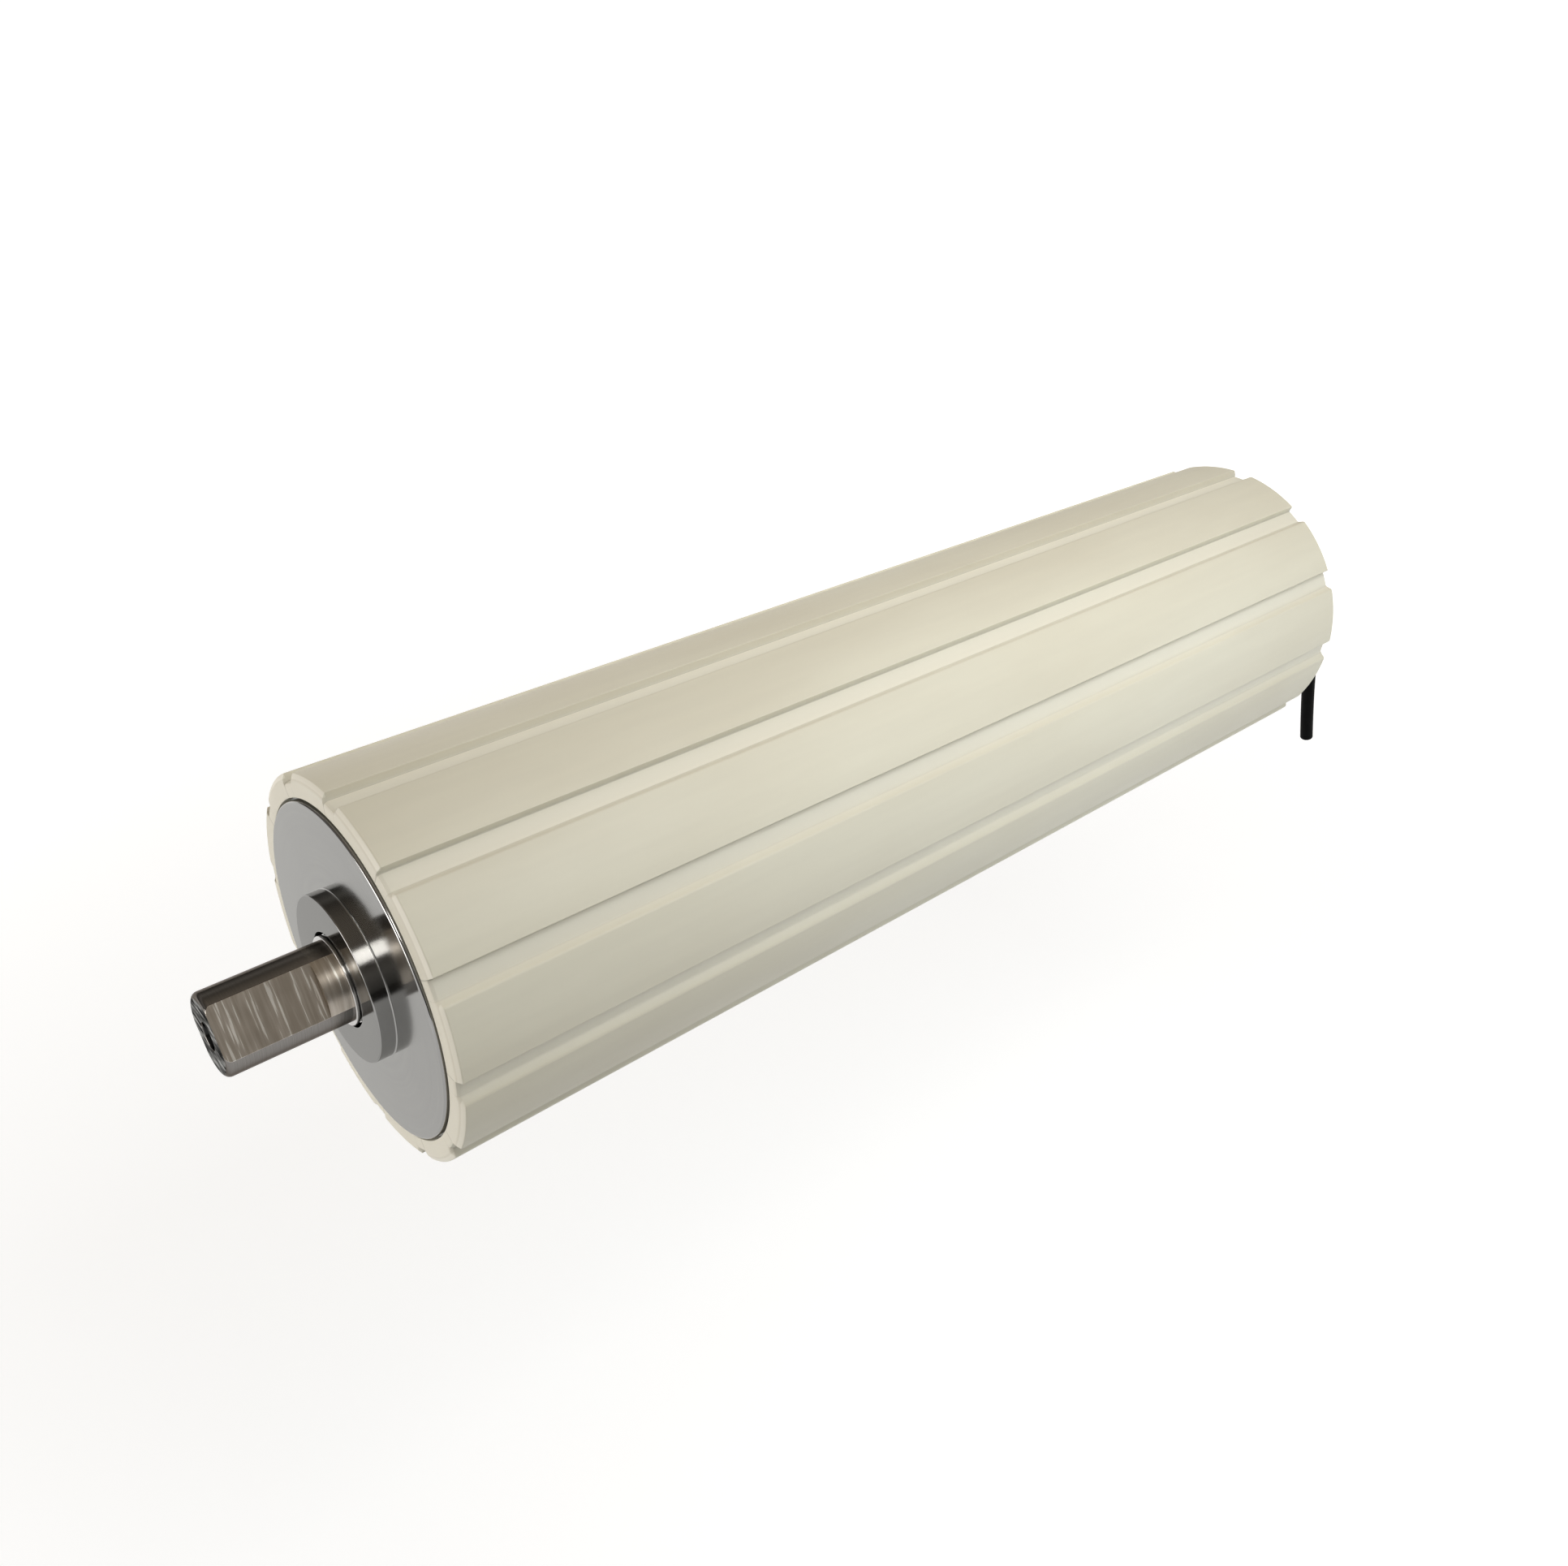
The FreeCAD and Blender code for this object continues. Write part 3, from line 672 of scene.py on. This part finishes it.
def wrap_end(piece, x, inward):
    """Closes one end of the sleeve with an end face, a rounded mouth and a lip over the shell's end."""
    pick(piece, lambda point: abs(point.x - x * MM) < SAME_PLACE)
    bpy.ops.mesh.extrude_edges_move()
    bpy.ops.transform.tosphere(value=1, center_override=mm(x, 0, 0))
    mesh = bmesh.from_edit_mesh(piece.data)
    radius = max(off_axis(v.co) for v in mesh.verts if v.select) / MM
    # Steps inward and the radius after each. The first narrows the end face, and the rest draw new rows.
    steps = ((0.0, 64.0), (0.2, 63.5), (0.6, 63.3), (2.4, 63.3), (0.0, SHELL))
    for step, wanted in steps:
        if (step, wanted) != steps[0]:
            move = {"value": mm(inward * step, 0, 0)}
            bpy.ops.mesh.extrude_edges_move(TRANSFORM_OT_translate=move)
        share = wanted / radius
        bpy.ops.transform.resize(value=(1, share, share), center_override=mm(x, 0, 0))
        radius = wanted


dress(lagging_sleeve(), "drum", "lagging", cream, "profiled_lagging")


# End discs, turned in one piece with their bosses

def housing_disc():
    face = FRONT_FACE
    boss = face - 6
    return turned("front_housing_disc", [
        (boss, 17.5), (boss, 31), (face, 31), (face, 62.5), (face + 26, 62.5), (face + 26, 31),
        (face + 3, 31), (face + 3, 17.5), (boss, 17.5),
    ], [
        (boss, 17.5, 0.9, 2), (boss, 31, 0.45, 3), (face, 31, 0.5, 4), (face, 62.5, 0.9, 3),
        (face + 26, 62.5, 0.5, 2),
    ], steps=160)


front_disc = housing_disc()
rear_disc = turned_round(front_disc, "rear_housing_disc")
for disc in (front_disc, rear_disc):
    dress(disc, "drum", "housing_steel", housing_steel, "end_housings")


# Labyrinth rings, pressed on the shaft in each boss's mouth

def labyrinth():
    start = FRONT_FACE - 7
    return turned("front_labyrinth_ring", [
        (start, SHAFT), (start, 16.5), (start + 1.6, 16.5), (start + 1.6, 15.8), (start + 2.6, 15.8),
        (start + 2.6, 16.5), (start + 6, 16.5), (start + 6, SHAFT), (start, SHAFT),
    ], [
        (start, 16.5, 0.35, 3), (start + 1.6, 16.5, 0.15, 2), (start + 2.6, 16.5, 0.15, 2),
    ], steps=96)


front_ring = labyrinth()
rear_ring = turned_round(front_ring, "rear_labyrinth_ring")
for ring in (front_ring, rear_ring):
    dress(ring, "fixed_core", "shaft_steel", ring_steel, "labyrinth_rings")


# Shaft ends with milled flats

def mill_flats(piece, start, end):
    """Cuts two flats, square to the turn of the bracket's slot."""
    thickness = 20
    for side in (0, 180):
        bpy.ops.object.select_all(action="DESELECT")
        bpy.ops.mesh.primitive_cube_add(size=1)
        block = bpy.context.object
        bpy.ops.object.mode_set(mode="EDIT")
        bpy.ops.mesh.select_all(action="SELECT")
        bpy.ops.transform.resize(value=mm(end - start, 40, thickness))
        bpy.ops.transform.translate(value=mm((start + end) / 2, 0, HALF_FLATS + thickness / 2))
        bpy.ops.object.mode_set(mode="OBJECT")
        block.rotation_euler.x = math.radians(FLAT_TURN + side)
        bpy.ops.object.transform_apply(location=False, rotation=True, scale=False)
        cut_with(piece, block)


def front_shaft_end():
    """The outline starts in the centre hole."""
    tip = FRONT_TIP
    piece = turned("front_shaft_end", [
        (tip + 16, 0), (tip + 14.5, 3.4), (tip + 2.2, 3.4), (tip, 5.2), (tip, SHAFT), (58.5, SHAFT),
        (58.5, 14.5), (98.5, 14.5), (98.5, 0),
    ], [(tip, SHAFT, TIP_BEVEL, 6), (tip, 5.2, 0.3, 2)], steps=96, turn=FLAT_TURN)
    mill_flats(piece, tip - 5, tip + FLAT_LENGTH)
    ease_edges(piece, 0.3)
    return piece


def rear_shaft_end():
    """A hollow shaft with a flange inside the drum."""
    tip = REAR_TIP
    piece = turned("rear_shaft_end", [
        (420.5, 8), (tip, 8), (tip, SHAFT), (432.5, SHAFT), (432.5, 55), (420.5, 55), (420.5, 8),
    ], [(tip, SHAFT, TIP_BEVEL, 6)], steps=96, turn=FLAT_TURN)
    mill_flats(piece, tip - FLAT_LENGTH, tip + 5)
    ease_edges(piece, 0.3)
    return piece


dress(front_shaft_end(), "fixed_core", "shaft_steel", shaft_steel, "front_shaft")
dress(rear_shaft_end(), "fixed_core", "shaft_steel", shaft_steel, "rear_shaft")


# Cable gland

def hexagon(name, start, end):
    """A hexagon bar with two corners up and down."""
    bpy.ops.object.select_all(action="DESELECT")
    bpy.ops.mesh.primitive_cylinder_add(
        vertices=6, radius=HEXAGON * MM / math.sqrt(3), depth=(end - start) * MM,
        location=mm((start + end) / 2, 0, 0), rotation=(0, math.radians(90), 0))
    piece = bpy.context.object
    piece.name = name
    piece.data.name = name
    bpy.ops.object.transform_apply(location=True, rotation=True, scale=True)
    return piece


def gland_hexagon():
    piece = hexagon("gland_body_hexagon", REAR_TIP - 1, NUT_START + 1)
    # Each blank starts at a turn of its own, so that no two edges fall together in a cut.
    blank = turned("blank", [
        (REAR_TIP, 0), (REAR_TIP, 10.4), (589.2, 11.7), (593.8, 11.7), (NUT_START, 10.4), (NUT_START, 0),
    ], [], steps=96, turn=1.9)
    cut_with(piece, blank, "INTERSECT")
    spigot = turned("spigot", [
        (576.5, 0), (576.5, 7.4), (577.1, 8), (REAR_TIP + 1, 8), (REAR_TIP + 1, 0),
    ], [], steps=96)
    cut_with(piece, spigot, "UNION")
    bore = turned("bore", [
        (570, 0), (570, CABLE_RADIUS), (600, CABLE_RADIUS), (600, 0),
    ], [], steps=96, turn=0.9)
    cut_with(piece, bore)
    ease_edges(piece, 0.15)
    return piece


def gland_cap_nut():
    piece = hexagon("gland_cap_nut", NUT_START, NUT_END)
    blank = turned("blank", [
        (NUT_START, CABLE_RADIUS), (NUT_START, 10.4), (595.2, 11.7), (602.6, 11.7), (603.6, 9.9),
        (606.4, 9.4), (608.6, 8.0), (NUT_END, 6.2), (NUT_END, 4.9), (608.4, 4.6),
        (608.4, CABLE_RADIUS), (NUT_START, CABLE_RADIUS),
    ], [(606.4, 9.4, 1.2, 4), (608.6, 8.0, 0.7, 3), (NUT_END, 6.2, 0.4, 2)], steps=96)
    cut_with(piece, blank, "INTERSECT")
    ease_edges(piece, 0.15)
    return piece


dress(gland_hexagon(), "fixed_core", "gland_brass", nickel, "gland_body")
dress(gland_cap_nut(), "fixed_core", "gland_brass", nickel, "gland_nut")


# Finishes for the solids inside, which keep their shape

inside = {
    "drum_shell": plain_tube_steel(),
    "ring_gear": machined_gear_steel(),
    "main_bearings": ground_bearing_steel(),
    "shaft_seals": rubber,
    "motor_case": cast_aluminium(),
    "stator_core": laminated_iron(),
    "stator_windings": enamelled_copper(),
    "motor_leads": silicone_sleeve(),
}
same_finish = {
    "shaft_key": "ring_gear",
    "layshaft_pinion": "ring_gear",
    "layshaft_gear": "ring_gear",
    "motor_pinion": "ring_gear",
    "bearing_shields": "motor_case",
    "rotor_core": "stator_core",
    "rotor_shaft": "main_bearings",
}
for name, same in same_finish.items():
    inside[name] = inside[same]
for name, material in inside.items():
    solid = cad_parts[name]
    for place in solid.material_slots:
        place.material = material


# Floor, world and soft lights

def white_floor():
    """Paint that takes the shadow, and glows for the camera and in reflections, more so further out."""
    material = bpy.data.materials.new("white_floor_paint")
    material.use_nodes = True
    nodes = material.node_tree.nodes
    links = material.node_tree.links
    paint = nodes["Principled BSDF"]
    paint.inputs["Base Color"].default_value = (0.42, 0.42, 0.42, 1)
    paint.inputs["Roughness"].default_value = 1.0
    paint.inputs["Specular IOR Level"].default_value = 0.0
    paint.inputs["Emission Color"].default_value = (1, 1, 1, 1)
    rays = nodes.new("ShaderNodeLightPath")
    seen = nodes.new("ShaderNodeMath")
    seen.operation = "MAXIMUM"
    links.new(rays.outputs["Is Camera Ray"], seen.inputs[0])
    links.new(rays.outputs["Is Glossy Ray"], seen.inputs[1])
    either = nodes.new("ShaderNodeMath")
    either.operation = "MAXIMUM"
    links.new(seen.outputs[0], either.inputs[0])
    links.new(rays.outputs["Is Transmission Ray"], either.inputs[1])
    place = nodes.new("ShaderNodeTexCoord")
    away = nodes.new("ShaderNodeVectorMath")
    away.operation = "LENGTH"
    links.new(place.outputs["Object"], away.inputs[0])
    white = nodes.new("ShaderNodeMapRange")
    white.interpolation_type = "SMOOTHSTEP"
    white.inputs["From Min"].default_value = 0.3
    white.inputs["From Max"].default_value = 1.4
    white.inputs["To Min"].default_value = 0.69
    white.inputs["To Max"].default_value = 0.94
    links.new(away.outputs["Value"], white.inputs["Value"])
    glow = nodes.new("ShaderNodeMath")
    glow.operation = "MULTIPLY"
    links.new(either.outputs[0], glow.inputs[0])
    links.new(white.outputs["Result"], glow.inputs[1])
    links.new(glow.outputs[0], paint.inputs["Emission Strength"])
    return material


bpy.ops.object.select_all(action="DESELECT")
bpy.ops.mesh.primitive_plane_add(size=240, location=(0.3, 0, -0.27))
floor = bpy.context.object
floor.name = "studio_floor"
floor.data.materials.append(white_floor())

world = bpy.data.worlds.new("studio")
world.use_nodes = True
sky = world.node_tree.nodes
look = sky.new("ShaderNodeTexCoord")
height = sky.new("ShaderNodeSeparateXYZ")
world.node_tree.links.new(look.outputs["Generated"], height.inputs[0])
room = sky.new("ShaderNodeValToRGB")
room_shades = ((0.18, (0.15, 0.142, 0.13)), (0.45, (0.30, 0.281, 0.254)), (0.62, (0.14, 0.125, 0.105)))
for place, shade in room_shades:
    room.color_ramp.elements.new(place).color = (*shade, 1)
room.color_ramp.elements[0].color = (0.12, 0.11, 0.10, 1)
room.color_ramp.elements[4].color = (0.36, 0.31, 0.25, 1)
world.node_tree.links.new(height.outputs["Z"], room.inputs["Fac"])
rays = sky.new("ShaderNodeLightPath")
backdrop = sky.new("ShaderNodeMix")
backdrop.data_type = "RGBA"
backdrop.inputs[7].default_value = (1, 1, 1, 1)
world.node_tree.links.new(rays.outputs["Is Camera Ray"], backdrop.inputs["Factor"])
world.node_tree.links.new(room.outputs["Color"], backdrop.inputs[6])
world.node_tree.links.new(backdrop.outputs[2], sky["Background"].inputs["Color"])
bpy.context.scene.world = world


def soft_light(name, place, aim, size, power, colour, mirrored):
    """A square soft box that faces a point. Its size is in metres, its power in watts."""
    bpy.ops.object.select_all(action="DESELECT")
    bpy.ops.object.light_add(type="AREA", location=place)
    lamp = bpy.context.object
    lamp.name = name
    lamp.rotation_mode = "QUATERNION"
    lamp.rotation_quaternion = (Vector(aim) - Vector(place)).to_track_quat("-Z", "Y")
    lamp.data.size = size
    lamp.data.energy = power
    lamp.data.color = colour
    lamp.visible_camera = False
    lamp.visible_glossy = mirrored
    return lamp


# Name, place, the point that it faces, size, power, colour, and whether reflections show it
key = soft_light("key_box", (-0.28, -0.69, 0.93), (0.03, 0, 0), 0.34, 3.0, (1.0, 0.98, 0.95), True)
key.visible_diffuse = False
soft_light("back_box", (0.4, 2.1, -0.1), (0.28, 0, 0), 1.6, 28, (1.0, 0.98, 0.95), False)
soft_light("right_box", (2.5, 0.1, 0.1), (0.54, 0, 0), 1.2, 24, (1.0, 0.99, 0.97), False)
soft_light("top_box", (0.32, -0.054, 0.618), (0.32, 0, 0), 0.4, 0.80, (1.0, 0.975, 0.93), False)
soft_light("front_box", (0.37, -0.399, 0.475), (0.37, 0, 0), 0.4, 2.46, (0.955, 1.0, 1.02), False)
soft_light("low_box", (0.48, -0.60, -0.13), (0.48, 0, 0), 0.25, 1.0, (0.92, 1.0, 1.05), False)
soft_light("end_box", (-0.6, -0.05, -0.16), (0.03, 0, -0.03), 0.2, 0.7, (1.0, 1.0, 1.0), False)
soft_light("left_box", (-1.75, 0.45, -0.1), (0.03, 0, 0), 1.2, 25, (1.0, 0.98, 0.94), True)

# A dark board beside the drum, which only reflections show
bpy.ops.object.select_all(action="DESELECT")
bpy.ops.mesh.primitive_plane_add(size=1, location=(0.4, -2.2, 0.0), rotation=(math.radians(90), 0, 0))
board = bpy.context.object
board.name = "dark_board"
bpy.ops.transform.resize(value=(3.6, 1, 0.5))
board.visible_camera = False
board.visible_diffuse = False
board.visible_shadow = False
dark = bpy.data.materials.new("dark_board_felt")
dark.use_nodes = True
dark.node_tree.nodes["Principled BSDF"].inputs["Base Color"].default_value = (0.05, 0.045, 0.04, 1)
dark.node_tree.nodes["Principled BSDF"].inputs["Roughness"].default_value = 1.0
board.data.materials.append(dark)
